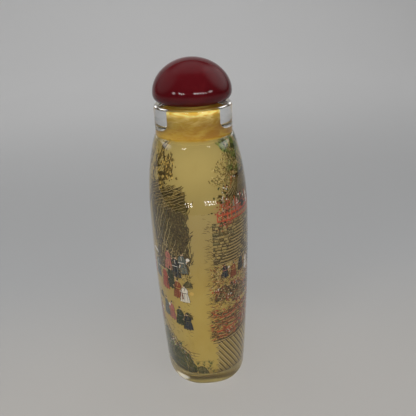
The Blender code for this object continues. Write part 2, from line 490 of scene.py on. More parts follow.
def stampFor(across, along):  # the points and faces of a flat grid, or of a disc when along is 0
    if (across, along) not in stamps:
        mesh = bmesh.new()
        if along:
            bmesh.ops.create_grid(mesh, x_segments=across, y_segments=along, size=1.0)
        else:
            bmesh.ops.create_circle(mesh, cap_ends=True, segments=across, radius=1.0)
        points = [(vert.co.x, vert.co.y) for vert in mesh.verts]
        if along:
            points = [(round((x + 1.0) * 0.5 * across), round((y + 1.0) * 0.5 * along)) for x, y in points]
        mesh.verts.index_update()
        faces = [[vert.index for vert in face.verts] for face in mesh.faces]
        mesh.free()
        stamps[across, along] = points, faces
    return stamps[across, along]


def between(first, second, share):
    return tuple(one * (1.0 - share) + other * share for one, other in zip(first, second))


class Painting:  # one layerable piece of paint, held as stamped strokes
    def __init__(self, name, seed):
        chance = random.Random(seed)
        self.random, self.uniform, self.gauss = chance.random, chance.uniform, chance.gauss
        self.randint, self.choice = chance.randint, chance.choice
        self.name = name
        self.points = []
        self.faces = []
        self.tones = []

    def put(self, places, faces, tone, layer):
        base = len(self.points)
        self.points += [(a, z, layer) for a, z in places]
        self.faces += [[base + corner for corner in reversed(face)] for face in faces]
        uneven = 1.0 + self.uniform(-1.0, 1.0) * canvas["unevenness"]
        self.tones += [tuple(part * uneven for part in pigment[tone])] * len(places)

    def sheet(self, rows, tone, layer=1):  # rows of points, each from left to right, bottom row first
        stamp, faces = stampFor(len(rows[0]) - 1, len(rows) - 1)
        self.put([rows[v][u] for u, v in stamp], faces, tone, layer)

    def block(self, lowLeft, lowRight, highRight, highLeft, tone, layer):
        sides = (((lowLeft, lowRight), (highLeft, highRight)), ((lowLeft, highLeft), (lowRight, highRight)))
        across, along = (
            math.ceil(max(math.dist(*side) for side in pair) / canvas["longest"]) for pair in sides)
        columns = [(between(lowLeft, lowRight, u / across), between(highLeft, highRight, u / across))
                   for u in range(across + 1)]
        rows = [[between(*column, v / along) for column in columns] for v in range(along + 1)]
        self.sheet(rows, tone, layer)

    def line(self, path, width, tone, layer=4, start=0.6, end=0.3):  # a brush line, thinner at its ends
        points = [path[0]]
        for first, second in zip(path, path[1:]):
            count = max(1, math.ceil(math.dist(first, second) / canvas["longest"]))
            points += [between(first, second, step / count) for step in range(1, count + 1)]
        last = len(points) - 1
        rows = []
        for place, (a, z) in enumerate(points):
            before, after = points[max(place - 1, 0)], points[min(place + 1, last)]
            da, dz = after[0] - before[0], after[1] - before[1]
            size = math.hypot(da, dz) or 1.0
            share = place / last
            half = 0.5 * width * min(
                1.0, start + (1.0 - start) * share * 4.0, end + (1.0 - end) * (1.0 - share) * 3.0)
            rows.append([(a - side * dz / size * half, z + side * da / size * half) for side in (1, -1)])
        self.sheet(rows, tone, layer)

    def rod(self, path, width, tone, layer=4):  # as wide at its ends
        self.line(path, width, tone, layer, 1.0, 1.0)

    def dab(self, a, z, size, tone, layer=4, flat=1.0, turn=0.0):
        stamp, faces = stampFor(7, 0)
        along, across = math.cos(turn), math.sin(turn)
        self.put([(a + size * (x * along - y * flat * across), z + size * (x * across + y * flat * along))
                  for x, y in stamp], faces, tone, layer)

    def spot(self, left, right, low, high):
        return self.uniform(left, right), self.uniform(low, high)

    def pick(self, tones):
        return self.choice(tones.split())

    def wander(self, a, z, heading, length, bend=0.3, step=0.7):  # a line that sways on its way
        path = [(a, z)]
        count = max(2, round(length / step))
        for _ in range(count):
            heading += self.gauss(0.0, bend)
            a += math.cos(heading) * length / count
            z += math.sin(heading) * length / count
            path.append((a, z))
        return path

    def finish(self, material):
        data = bpy.data.meshes.new(self.name)
        data.from_pydata(wrapOnWall(numpy.array(self.points)).tolist(), [], self.faces)
        tones = numpy.ones((len(self.tones), 4))
        tones[:, :3] = self.tones
        data.color_attributes.new("paint", "FLOAT_COLOR", "POINT").data.foreach_set("color", tones.ravel())
        data.materials.append(material)
        piece = linkItem(self.name, data)
        piece.visible_shadow = False
        finishPiece(piece)


def makePaintMaterial():
    material, shader, place = newMaterial("waterPaint", Specular_IOR_Level=0.05, Roughness=0.6)
    paint = Wire.make(place.tree, "ShaderNodeAttribute", {"attribute_name": "paint"}, {}, "Color")
    grain = noise(place, 2600.0, 2.0).ramp(0.45, 0.75) * 0.22
    feedShader(shader, Base_Color=mixColour(grain, paint, ground["pale"]))
    return material


# things that the painter repeats

def scumble(art, box, count, length, width, tones, heading, spread=0.4, layer=3, within=None):
    for _ in range(count):  # short strokes thrown over an area
        a, z = art.spot(*box)
        if within and not within(a, z):
            continue
        turn = heading + art.gauss(0.0, spread)
        path = art.wander(a, z, turn, length * art.uniform(0.5, 1.3), 0.25, 0.5)
        art.line(path, width * art.uniform(0.7, 1.3), art.pick(tones), layer + art.randint(0, 2))


def dots(art, a, z, spread, count, size, tones, layer=5, flat=0.7, squash=0.6):
    for _ in range(count):
        art.dab(art.gauss(a, spread), art.gauss(z, spread * squash),
                size * art.uniform(0.6, 1.3), art.pick(tones), layer + art.randint(0, 2),
                flat, art.uniform(0.0, 3.1))


def branch(art, a, z, heading, length, width, tone, tips, level=0, sway=0.3):
    path = art.wander(a, z, heading, length, sway)
    for x, y in path[1:]:
        if level < 2 and art.random() < 0.42:
            turn = heading + art.choice((-1.0, 1.0)) * art.uniform(0.5, 1.2)
            branch(art, x, y, turn, length * art.uniform(0.3, 0.55), width * 0.5, tone, tips, level + 1, sway)
        elif level:
            tips.append((x, y))
    art.line(path, width, tone, 4, 1.0, 0.35)
    tips.append(path[-1])


# each from a place, with a heading and a length
def boughs(art, starts, width, tone, leaves, every=1, **habit):
    tips = []
    for start in starts:
        branch(art, *start, width, tone, tips, **habit)
    for x, y in tips[::every]:
        dots(art, x, y, *leaves)


def needlePad(art, a, z, size):  # a flat pad of needles: washes below, fans of fine strokes above
    dots(art, a, z, 0.42 * size, round(9 * size), 0.30 * size, "pine moss leaf", 2, 0.55, 0.32)
    for _ in range(round(11 * size)):
        x, y = art.gauss(a, 0.5 * size), art.gauss(z, 0.2 * size)
        tone = art.pick("pine ink leaf spring moss")
        for spoke in range(-3, 4):
            turn = 0.5 * math.pi + spoke * 0.42 + art.gauss(0.0, 0.1)
            reach = 0.62 * art.uniform(0.7, 1.15)
            art.line([(x, y), (x + reach * math.cos(turn), y + reach * math.sin(turn))], 0.085, tone,
                     5 + art.randint(0, 3))


def pineTree(art, a, z, heading, length, pads):
    trunk = art.wander(a, z, heading, length, 0.16, 1.2)
    art.line(trunk, 1.5, "bark", 2, 1.0, 0.45)
    for x, y in trunk:
        for _ in range(5):  # scales of bark
            side = art.uniform(-0.55, 0.55)
            art.line(art.wander(x + side, y, heading + art.gauss(0.0, 0.5), 0.6, 0.5, 0.3), 0.11,
                     art.pick("ink umber olive"), 3)
    for x, y, size in pads:
        near = min(trunk, key=lambda point: math.dist(point, (x, y - 2.0)))
        middle = (0.5 * (near[0] + x) + art.gauss(0.0, 0.5), 0.5 * (near[1] + y) + art.gauss(0.0, 0.5))
        art.line([near, middle, (x, y - 0.3)], 0.45, "bark", 2, 1.0, 0.4)
        needlePad(art, x, y, size)


def rock(art, a, z, width, height, tones="olive umber ink", strokes=26, layer=1):
    base, shade, edge = tones.split()
    lean = art.uniform(-0.25, 0.25) * width
    levels = max(3, math.ceil(height / 0.75))
    across = max(2, math.ceil(width / 0.8))
    rows = []
    for level in range(levels + 1):
        share = level / levels
        half = 0.5 * width * math.sqrt(max(1.0 - share ** 1.7, 0.02)) * art.uniform(0.85, 1.05)
        left = a + lean * share - half
        rows.append([(left + 2.0 * half * u / across, z + height * share + 0.1 * art.random())
                     for u in range(across + 1)])
    art.sheet(rows, base, layer)
    art.line([row[0] for row in rows], 0.22, edge, layer + 2)
    art.line([row[-1] for row in rows], 0.16, edge, layer + 2)
    for _ in range(strokes):  # cracks and folds that follow the sides
        level = art.randint(1, levels)
        u = art.random()
        left, right = rows[level][0], rows[level][-1]
        turn = -0.5 * math.pi + (u - 0.45) * 1.1 + art.gauss(0.0, 0.2)
        path = art.wander(left[0] + (right[0] - left[0]) * u, left[1], turn,
                          art.uniform(0.5, 0.3 * height + 0.6), 0.25, 0.5)
        lit = u < 0.55 and art.random() < 0.45
        tone = art.pick("shade cream moss") if lit else art.choice([shade, shade, edge])
        art.line([(x, max(y, z)) for x, y in path], art.uniform(0.08, 0.17), tone, layer + 2)
    dots(art, a + lean, z + 0.9 * height, 0.18 * width, round(2.0 * width), 0.13, "ink moss pine", layer + 3)


def pavilion(art, a, z, width, tall):  # platform, posts, railing and a tiled roof with lifted eaves
    half = 0.5 * width
    floor, eave, top = z + 0.10 * tall, z + 0.52 * tall, z + tall
    rail = floor + 0.12 * tall

    def at(x, y):  # x in half widths from the middle
        return a + x * half, y

    art.block(at(-0.95, z), at(0.95, z), at(0.9, floor), at(-0.9, floor), "slate", 3)
    art.rod([at(-0.9, floor), at(0.9, floor)], 0.14, "ink", 5)
    art.block(at(-0.75, floor), at(0.75, floor), at(0.75, eave), at(-0.75, eave), "umber", 3)
    dots(art, a, floor + 0.2 * tall, half * 0.4, 34, 0.34, "ink brick slate white gold shade", 4)
    for step in range(5):
        x = a + half * 0.75 * (step / 2.0 - 1.0)
        art.rod([(x, floor), (x, eave)], 0.42, "coral", 6)
        art.rod([(x + 0.16, floor), (x + 0.16, eave)], 0.07, "ink", 7)
    for height in (floor + 0.02 * tall, rail):
        art.rod([at(-0.9, height), at(0.9, height)], 0.30, "coral", 7)
    count = round(width / 0.55)
    for step in range(count):
        left, right = (0.9 * (2.0 * place / count - 1.0) for place in (step, step + 1))
        art.rod([at(left, floor), at(right, rail)], 0.09, "brick", 6)
        art.rod([at(right, floor), at(left, rail)], 0.09, "brick", 6)
    ridge = half * 0.45
    levels = 7
    rows = []
    for level in range(levels + 1):
        share = level / levels
        reach = ridge + (half * 1.12 - ridge) * (1.0 - share) ** 1.7
        lifted = 0.10 * tall * (1.0 - share)
        rows.append([(a + reach * u / 8.0, eave + (top - eave) * share + lifted * (abs(u) / 8.0) ** 3)
                     for u in range(-8, 9)])
    art.sheet(rows, "bark", 7)
    for u in range(17):  # rows of tiles
        art.rod([row[u] for row in rows], 0.20, "ink" if u % 2 else "umber", 8)
        art.line([(row[u][0] + 0.24, row[u][1]) for row in rows[:-1]], 0.10, "cream", 9, 1.0, 0.5)
        art.dab(*rows[0][u], 0.13, "ink", 9)
    for row in rows[1:-1:2]:
        art.rod(row, 0.07, "ink", 8)
    art.rod(rows[0], 0.16, "ink", 9)
    art.rod([(a - ridge - 0.3, top + 0.35), (a - ridge, top),
             (a + ridge, top), (a + ridge + 0.3, top + 0.35)], 0.32, "ink", 9)


# height, then how far it reaches behind and in front
robeOutline = ((0.04, 0.21, 0.25), (0.30, 0.19, 0.21), (0.52, 0.14, 0.15),
               (0.68, 0.16, 0.15), (0.80, 0.11, 0.10), (0.84, 0.04, 0.04))


def person(art, a, z, tall, robe, trim, facing=1, carries=None, layer=6):
    def at(x, y):  # in shares of the person's height
        return a + x * tall, z + y * tall

    lean = 0.03 * facing
    rows = []
    for height, back, front in robeOutline:
        left, right = (back, front)[::facing]
        rows.append([at(lean * height - left + (left + right) * u / 2.0, height) for u in range(3)])
    art.sheet(rows, robe, layer)
    for side in (0, -1):
        art.line([row[side] for row in rows], 0.10, "ink", layer + 1, 1.0, 0.6)
    for fold in (-0.08, 0.02, 0.10):
        art.line([at(fold, 0.5), at(1.5 * fold, 0.06)], 0.08, "ink" if robe != "navy" else "slate", layer + 1)
    art.rod([at(-0.11, 0.52), at(0.12, 0.52)], 0.17, trim, layer + 2)
    hand = at(0.20 * facing, 0.60)
    art.rod([at(lean, 0.74), at(0.08 * facing, 0.60), hand], 0.13 * tall, robe, layer + 1)
    cuff = ((-0.04 * facing, -0.10 * tall), (0.05 * facing, 0.03 * tall))
    art.rod([(hand[0] + x, hand[1] + y) for x, y in cuff], 0.14, trim, layer + 2)
    art.line([at(0.0, 0.80), at(lean, 0.62)], 0.14, trim, layer + 2, 1.0, 0.5)
    art.dab(*at(0.23 * facing, 0.60), 0.032 * tall, "skin", layer + 2)
    art.dab(*at(1.3 * lean, 0.90), 0.062 * tall, "skin", layer + 2)
    art.dab(*at(1.3 * lean - 0.02 * facing, 0.935), 0.055 * tall, "ink", layer + 3, 0.8)
    art.dab(*at(1.3 * lean - 0.03 * facing, 0.985), 0.028 * tall, "ink", layer + 3)
    for side in (-0.06, 0.08):
        art.dab(*at(side, 0.02), 0.042 * tall, "ink", layer, 0.5)
    if carries == "staff":
        art.rod([at(0.20 * facing, 0.0), at(0.20 * facing + 0.02, 1.05)], 0.10, "umber", layer + 1)
    elif carries == "parasol":
        pole = 0.20 * facing - 0.03
        art.line([at(0.20 * facing, 0.50), at(pole, 1.15)], 0.09, "ink", layer + 2)
        rows = [[at(pole + 0.3 * reach * (u / 3.0 - 1.0), height) for u in range(7)]
                for height, reach in ((1.08, 1.0), (1.15, 0.75), (1.22, 0.15))]
        art.sheet(rows, trim, layer + 3)
        art.rod(rows[0], 0.10, "ink", layer + 4)
    elif carries == "fan":
        art.dab(*at(0.26 * facing, 0.69), 0.075 * tall, "white", layer + 3)
    elif carries == "load":
        art.line([at(-0.16 * facing - 0.18, 0.78), at(0.24 * facing, 0.80)], 0.10, "umber", layer + 3)
        art.dab(*at(-0.16 * facing - 0.14, 0.55), 0.10 * tall, "gold", layer + 3)


def tufts(art, box, count, tall, tones):
    for _ in range(count):
        a, z = art.spot(*box)
        for blade in range(-2, 3):
            reach = tall * art.uniform(0.6, 1.1)
            aside, rise = reach * math.sin(0.28 * blade), reach * math.cos(0.28 * blade)
            path = [(a, z), (a + 0.5 * aside, z + 0.6 * reach), (a + 1.3 * aside, z + rise)]
            art.line(path, 0.10, art.pick(tones), 5)


def hatch(art, box, spacing, heading, width, tones, layer=4, within=None, light=None):
    left, right, low, high = box
    reach = 0.5 * math.hypot(right - left, high - low)
    along, across = math.cos(heading), math.sin(heading)
    steps = math.ceil(reach / 0.55)
    for row in range(math.ceil(-reach / spacing), math.floor(reach / spacing) + 1):
        sway, shift = art.uniform(0.0, 6.0), row * spacing + art.gauss(0.0, 0.07 * spacing)
        run = []
        for step in range(-steps, steps + 1):
            side = shift + 0.10 * spacing * math.sin(0.9 * step + sway)
            a = 0.5 * (left + right) + 0.55 * step * along - side * across
            z = 0.5 * (low + high) + 0.55 * step * across + side * along
            if left <= a <= right and low <= z <= high and (within is None or within(a, z)):
                run.append((a, z))
                continue
            if len(run) > 2:
                art.line(run, width, art.pick(tones), layer)
                if light:
                    beside = [(x - 0.8 * width * across, y + 0.8 * width * along) for x, y in run]
                    art.line(beside, 0.45 * width, light, layer + 1)
            run = []


def blockWall(art, left, right, low, high, slope, course=0.78):
    count = round((high - low) / course)  # courses of dressed stone
    for row in range(count + 1):
        z = low + row * course
        bed = [(a, z + slope * a) for a in (left, 0.5 * (left + right), right)]
        art.rod(bed, art.uniform(0.13, 0.24), "umber")
        if row == count:
            break
        a = left
        while a < right:
            size = min(art.uniform(0.9, 1.9), right - a)
            base = z + slope * a
            if art.random() < 0.62:
                art.block((a, base), (a + size, base), (a + size, base + course), (a, base + course),
                          art.pick("brown shade bark olive"), 3)
            art.rod([(a, base), (a + 0.05, base + course)], 0.17, "umber")
            gleam = base + 0.75 * course
            art.line([(a + 0.15, gleam), (a + size - 0.12, gleam)], 0.09, "cream", 5)
            a += size


def paving(art, left, right, low, high):  # a court of laid stones, seen aslant
    gap, slant, course = 1.3, 0.62, 0.55
    for step in range(60):  # its left edge runs aslant, too
        foot = left + step * gap
        rises = [(high - low) * part / 12.0 for part in range(13)]
        path = [(foot + rise * slant, low + rise) for rise in rises if foot + rise * slant <= right]
        if len(path) > 1:
            art.rod(path, 0.32, "brown")
            art.rod([(x + 0.06, z) for x, z in path], 0.13, "umber", 5)
            art.rod([(min(x + 0.34, right), z) for x, z in path], 0.20, "cream", 3)
        for part in range(1, round((high - low) / course)):
            z = low + part * course + (step % 2) * 0.27
            x = foot + (z - low) * slant
            if left < x < right - 0.6 and z < high:
                art.rod([(x, z), (x + gap * 0.9, z - 0.30)], 0.22, "brown", 3)
                art.rod([(x + 0.3, z - 0.26), (x + gap * 0.9, z - 0.50)], 0.16, "cream", 3)


def waves(art, left, right, low, high):  # rows of small crests
    z = low
    shift = 0.0
    while z < high:
        a = left + shift
        while a < right - 1.6:
            art.line([(a, z), (a + 0.4, z + 0.28), (a + 0.8, z + 0.34), (a + 1.2, z + 0.22), (a + 1.6, z)],
                     0.11, art.pick("slate olive shade"))
            a += art.uniform(1.7, 2.4)
        shift = 0.8 - shift
        z += 0.62


def hill(art, a, z, width, height, tone="shade"):
    levels, across = max(3, math.ceil(height / 0.8)), math.ceil(width / 0.8)
    shares = [u / across - 0.5 for u in range(across + 1)]
    swells = [max(math.cos(math.pi * share), 0.05) ** 1.3 * (1.0 + 0.12 * math.sin(9.0 * share + 4.5))
              for share in shares]
    rows = [[(a + width * share, z + height * level / levels * swell) for share, swell in zip(shares, swells)]
            for level in range(levels + 1)]
    art.sheet(rows, tone, 0)
    art.line(rows[-1], 0.16, "bark", 2)
    for _ in range(round(width * 3.0)):
        u = art.randint(1, across - 1)
        start = rows[art.randint(2, levels)][u]
        turn = -0.5 * math.pi + shares[u] * 1.2
        path = art.wander(*start, turn, art.uniform(0.6, 0.45 * height), 0.2, 0.5)
        art.line([(x, max(y, z)) for x, y in path], 0.10, art.pick("brown olive bark"), 2)


def railing(art, left, right, low, tall, slope):  # posts, two rails and crossed bars
    def at(share, rise):
        return left + (right - left) * share, low + rise + slope * (right - left) * share

    count = round((right - left) / 1.3)
    for step in range(count + 1):
        near, far = step / count, (step + 1) / count
        art.rod([at(near, 0.0), at(near, 1.1 * tall)], 0.26, "coral", 7)
        art.dab(*at(near, 1.15 * tall), 0.2, "coral", 8)
        if step < count:
            art.rod([at(near, 0.0), at(far, 0.9 * tall)], 0.12, "brick", 6)
            art.rod([at(near, 0.9 * tall), at(far, 0.0)], 0.12, "brick", 6)
    for height in (0.1 * tall, 0.9 * tall):
        art.rod([at(0.0, height), at(1.0, height)], 0.42, "coral", 7)
        art.rod([at(0.0, height - 0.2), at(1.0, height - 0.2)], 0.10, "ink", 7)


def bush(art, a, z, size, tones, lights):
    dots(art, a, z, 0.45 * size, round(14 * size), 0.30, tones, 4)
    dots(art, a, z + 0.1 * size, 0.42 * size, round(5 * size), 0.17, lights, 7)


# the gardens, laid out by the way round the wall:
# 0 is the middle of the +Y face, 24 the +X side and 48 the middle of the -Y face

def paintPavilionFace(material):
    art = Painting("pineGarden", 11)
    hill(art, -14.0, 44.0, 13.0, 9.0)
    hill(art, -6.0, 42.0, 12.0, 7.0)
    scumble(art, (-21.0, -1.0, 43.0, 46.5), 260, 0.8, 0.12, "moss olive shade umber", 1.5, 0.4, 2)
    pineTree(art, -17.5, 42.0, 1.7, 13.0, (
        (-20.8, 54.0, 2.0), (-18.0, 56.6, 2.3), (-14.6, 54.6, 2.0), (-20.0, 50.4, 1.6)))
    pineTree(art, -12.5, 41.0, 1.5, 7.5, ((-14.4, 48.0, 1.5), (-12.0, 49.6, 1.7), (-9.8, 47.6, 1.4)))
    pineTree(art, -1.0, 39.0, 1.45, 22.0, (
        (-9.0, 60.0, 2.6), (-4.5, 64.0, 2.8), (1.0, 65.2, 2.6), (6.0, 63.8, 3.0), (10.5, 62.6, 3.0),
        (13.2, 64.2, 2.2), (4.0, 59.0, 2.2), (-8.0, 54.5, 2.2), (10.0, 59.4, 2.4), (-3.0, 56.5, 2.0),
        (13.6, 60.6, 1.7), (11.6, 65.3, 1.9), (14.6, 65.0, 1.4)))
    for start in ((11.0, 58.0, 0.5), (9.5, 57.5, 0.9), (12.0, 60.0, 0.1),
                  (10.0, 61.0, 0.3), (12.5, 57.0, 0.7), (9.5, 59.0, 0.8)):
        boughs(art, [(*start, 6.5)], 0.26, "brown", (0.4, 4, 0.17, "brown shade olive brown cream", 4))
    scumble(art, (4.0, 19.0, 53.0, 63.5), 900, 0.9, 0.13, "brown olive shade cream moss", 0.5, 1.0, 3,
            lambda a, z: z < 65.0 - 0.5 * (a - 6.0))
    rock(art, -15.0, 33.0, 12.0, 14.0, strokes=70)
    rock(art, -8.0, 34.0, 9.0, 9.0, strokes=50, layer=2)
    rock(art, 2.0, 36.0, 7.0, 5.0, strokes=30)
    art.finish(material)

    art = Painting("pavilionWall", 12)
    for place in ((6.0, 58.0, 2.2), (9.5, 59.0, 2.2), (13.5, 58.6, 2.4), (16.8, 57.0, 2.6), (19.0, 54.5, 2.2),
                  (18.5, 51.8, 2.0)):
        bush(art, *place, "ink umber pine bark brick", "cream rose white coral")
    pavilion(art, 10.0, 50.3, 14.0, 8.4)
    for a, *figure in ((6.5, 3.6, "navy", "white", 1), (9.2, 3.4, "white", "navy", -1),
                       (12.2, 3.6, "ink", "coral", -1, "fan"), (14.6, 3.3, "rose", "white", -1)):
        person(art, a, 51.0, *figure, layer=8)
    rock(art, 17.2, 50.6, 4.8, 6.0, "bark ink umber", 40, 3)
    hatch(art, (15.4, 19.2, 51.0, 55.6), 0.55, 1.75, 0.13, "cream rose white shade", 6)
    for start in ((18.4, 47.5), (20.4, 46.5)):
        boughs(art, [(*start, 1.5, 5.6)], 0.34, "umber", (0.6, 4, 0.22, "coral brick brick rose ink", 5))
    blockWall(art, 4.5, 22.0, 37.4, 48.4, 0.05)
    railing(art, 5.2, 20.6, 49.0, 1.8, 0.04)
    rock(art, 3.4, 35.6, 8.5, 13.4, strokes=90, layer=6)
    rock(art, -0.6, 34.8, 6.0, 8.6, strokes=60, layer=8)
    rock(art, 6.6, 34.8, 4.6, 5.4, strokes=36, layer=8)
    tufts(art, (-2.5, 8.0, 34.5, 35.5), 16, 1.4, "moss leaf umber")
    for step in range(12):  # stairs down to the court
        left, right, z = 11.6 + 0.4 * step, 15.4 + 0.5 * step, 47.6 - 0.8 * step
        art.block((left, z - 0.55), (right, z - 0.5), (right, z), (left, z), "shade", 5)
        art.rod([(left, z), (right, z + 0.05)], 0.28, "umber", 6)
        art.rod([(left, z - 0.3), (right, z - 0.25)], 0.12, "cream", 6)
    scumble(art, (4.5, 22.0, 34.0, 49.0), 760, 1.0, 0.13, "brown umber umber bark cream", 0.2, 0.8)
    scumble(art, (-2.0, 22.0, 27.0, 38.0), 1200, 0.7, 0.20, "bark brown brick umber shade cream", 0.3,
            1.2, 3, onBank)
    dots(art, 9.0, 32.0, 3.2, 200, 0.20, "brick bark ink cream rose white", 4, 0.8, 0.5)
    for figure in ((6.5, 34.5, 4.4, "slate", "white"), (8.8, 34.0, 4.8, "navy", "white", 1, "staff"),
                   (11.6, 33.4, 4.5, "white", "coral", -1), (14.2, 34.4, 4.6, "ink", "slate", 1, "load"),
                   (17.0, 33.6, 4.4, "brick", "gold", -1), (19.4, 34.2, 4.2, "navy", "rose", -1, "fan"),
                   (-2.0, 30.5, 5.6, "coral", "navy", 1, "parasol"), (2.0, 29.5, 5.4, "slate", "white", -1),
                   (-7.5, 31.0, 5.2, "navy", "gold", -1, "staff"),
                   (-11.0, 29.5, 5.0, "white", "rose", 1, "fan"), (-16.0, 28.0, 4.8, "rose", "slate"),
                   (-18.4, 27.6, 4.6, "slate", "gold", -1, "staff"),
                   (-9.2, 28.8, 4.9, "coral", "slate", -1, "parasol"), (-4.6, 26.6, 5.4, "navy", "rose")):
        person(art, *figure)
    art.finish(material)

    art = Painting("bankCourt", 13)
    scumble(art, (-2.0, 22.6, 22.5, 37.5), 1500, 0.9, 0.14, "brown umber bark brick cream", 0.15, 0.8, 3,
            onBank)
    for a, z, width, height in (
            (9.0, 27.0, 6.0, 5.0), (14.5, 26.2, 6.5, 5.6), (19.8, 27.5, 4.6, 4.6), (4.5, 25.5, 5.5, 4.0)):
        rock(art, a, z, width, height, "bark ink ink", 40)
        face = (a - 0.4 * width, a + 0.4 * width, z + 0.3, z + 0.7 * height)
        hatch(art, face, 0.62, -1.1, 0.10, "cream shade", 6)
    for place in ((6.5, 31.8), (9.5, 32.0), (12.0, 29.5), (16.5, 31.6),
                  (18.0, 28.5), (21.0, 30.5), (10.0, 26.0), (15.0, 26.0)):
        bush(art, *place, 1.9, "coral brick brick ink umber", "white cream rose")
    for row in range(9):  # low walls of earth across the bank
        z = 25.2 - row * 1.05
        start = 2.6 + 2.2 * math.sin(1.9 * row) + 0.25 * row
        path = [(start + step, z + 0.35 * math.sin(0.7 * step + row) - 0.10 * step)
                for step in range(round(22.4 - start))]
        art.line(path, 0.50, "bark coral brown brick".split()[row % 4], 5, 0.2, 1.0)
        art.rod([(a, y - 0.35) for a, y in path], 0.12, "cream", 5)
        scumble(art, (start, 22.6, z - 1.4, z - 0.2), 140, 1.0, 0.22, "brown coral umber brick bark",
                -0.2, 0.35, 4)
    for place in ((8.0, 19.0), (13.5, 18.5), (18.5, 17.6)):
        bush(art, *place, 1.8, "coral brick coral umber", "white cream")
    paving(art, -5.0, 21.6, 2.6, 15.6)
    for lift, width, tone in ((0.0, 0.36, "umber"), (-0.45, 0.16, "cream"), (-0.8, 0.20, "umber")):
        for kerb in ([(a, z + lift) for a, z in ((2.6, 17.6), (9.0, 16.6), (16.0, 15.6), (22.7, 14.8))],
                     [(2.6 + lift, 17.6 + lift), (lift, 12.0), (-3.5 + lift, 6.0), (-5.6 + lift, 2.4)]):
            art.rod(kerb, width, tone, 6)
    art.line([(-5.6, 2.9), (22.9, 2.9)], 0.75, "umber", 6, 1.0, 0.4)
    waves(art, -21.5, -7.0, 4.0, 21.0)
    waves(art, -7.0, -1.5, 11.5, 21.0)
    for place in (
            (-17.0, 18.0, 8.0, 6.0), (-8.0, 20.0, 7.0, 5.0), (-1.5, 21.0, 8.0, 4.5), (-20.0, 8.0, 4.0, 5.0)):
        rock(art, *place, strokes=40)
    tufts(art, (-20.0, 3.0, 17.0, 26.0), 46, 1.7, "moss leaf umber spring")
    tufts(art, (-20.0, 2.0, 3.5, 6.0), 26, 2.0, "moss pine olive")
    for a, z in ((-12.0, 12.0), (-6.0, 9.0), (-1.5, 13.0), (-14.5, 7.5), (-8.0, 15.0)):
        for _ in range(7):  # lotus leaves on the pond
            x, y = art.gauss(a, 1.2), art.gauss(z, 0.6)
            art.dab(x, y, 0.72, art.pick("moss leaf slate"), 5, 0.5)
            art.line([(x - 0.5, y), (x + 0.5, y + 0.05)], 0.08, "ink", 6)
        dots(art, a, z + 0.9, 0.7, 5, 0.24, "rose white coral", 7)
    art.finish(material)


def onBank(a, z):  # the bank's shore runs in and out
    return a > 2.0 + 2.6 * math.sin(0.55 * z) + 1.1 * math.sin(1.7 * z)


def cliffEdge(z):
    return 27.5 + 0.25 * math.sin(0.9 * z) + 0.2 * math.sin(2.3 * z) + (0.5 if z > 54.0 else 0.0)


def cliffEnd(z):
    return 43.0 - 0.25 * (60.0 - z)


def onCliff(a, z):
    return cliffEdge(z) - 0.5 < a < cliffEnd(z) + 0.5


